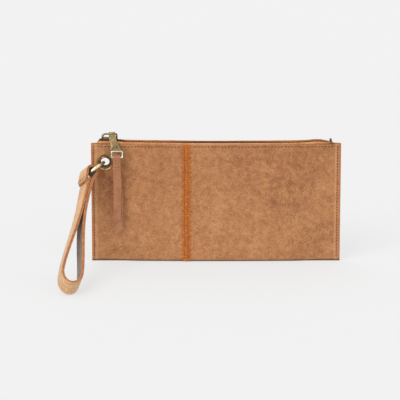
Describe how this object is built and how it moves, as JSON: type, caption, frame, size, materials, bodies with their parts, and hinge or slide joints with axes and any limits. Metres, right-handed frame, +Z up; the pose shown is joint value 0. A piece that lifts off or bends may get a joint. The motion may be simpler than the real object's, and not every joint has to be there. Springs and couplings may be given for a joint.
{
  "type": "wristlet wallet",
  "caption": "Slim zipped leather pouch with a covered panel seam, a brass eyelet and swinging ring, a wrist strap, and a zip puller with a leather tab.",
  "frame": {"origin": "centre of the pouch's flat bottom face, on the surface it stands on", "axes": "+X along the pouch towards the end where the zip is open, +Y towards the back, +Z up"},
  "size_m": [0.2683, 0.1329, 0.1279],
  "materials": {
    "panel_leather": "brushed, mottled tan",
    "strip_leather": "smooth, ochre",
    "facing_leather": "smooth, light tan",
    "tab_leather": "smooth tan",
    "strap_leather": "brushed, pale tan",
    "strap_lining": "matt dark",
    "lining_cotton": "twill",
    "stiffener_board": "bonded felt",
    "zip_tape": "woven",
    "antique_brass": "antique, rubbed",
    "bright_brass": "polished"
  },
  "bodies": {
    "pouch": {"leather_left": "panel_leather", "leather_right": "panel_leather", "seam_strip": "strip_leather", "facing_front": "facing_leather", "facing_back": "facing_leather", "stiffener_front": "stiffener_board", "stiffener_back": "stiffener_board", "lining_front": "lining_cotton", "lining_back": "lining_cotton", "slip_pocket": "lining_cotton", "card_tier_1": "lining_cotton", "card_tier_2": "lining_cotton", "card_tier_3": "lining_cotton", "zip_tape_front": "zip_tape", "zip_tape_back": "zip_tape", "zip_teeth_front": "antique_brass", "zip_teeth_back": "antique_brass", "zip_top_stops": "antique_brass", "zip_bottom_stop": "antique_brass", "eyelet_face": "bright_brass", "eyelet_washer": "bright_brass"},
    "slider": {"slider_body": "antique_brass", "slider_bail": "antique_brass"},
    "puller": {"puller_plate": "antique_brass"},
    "tab": {"pull_tab": "tab_leather"},
    "ring": {"ring": "bright_brass"},
    "strap": {"strap_leather": "strap_leather", "strap_lining": "strap_lining"}
  },
  "joints": [
    {"name": "zip_slide", "type": "slide", "parent": "pouch", "child": "slider", "axis": [1, 0, 0], "range_m": [0, 0.203], "deforming": ["zip_teeth_front", "zip_teeth_back", "zip_tape_front", "zip_tape_back"]},
    {"name": "puller_swing", "type": "hinge", "parent": "slider", "child": "puller", "pos_m": [-0.0996, 0, 0.1262], "axis": [-1, 0, 0], "range_deg": [0, 242]},
    {"name": "tab_swing", "type": "hinge", "parent": "puller", "child": "tab", "pos_m": [-0.0948, -0.01228, 0.10571], "axis": [-1, 0, 0], "range_deg": [0, 112]},
    {"name": "ring_swing", "type": "hinge", "parent": "pouch", "child": "ring", "pos_m": [-0.10762, -0.00022, 0.09819], "axis": [0, 1, 0], "range_deg": [0, 62]},
    {"name": "strap_swing", "type": "hinge", "parent": "ring", "child": "strap", "pos_m": [-0.12174, -0.00966, 0.08975], "axis": [-0.5318, 0.6322, -0.5634], "range_deg": [-25, 95]}
  ]
}
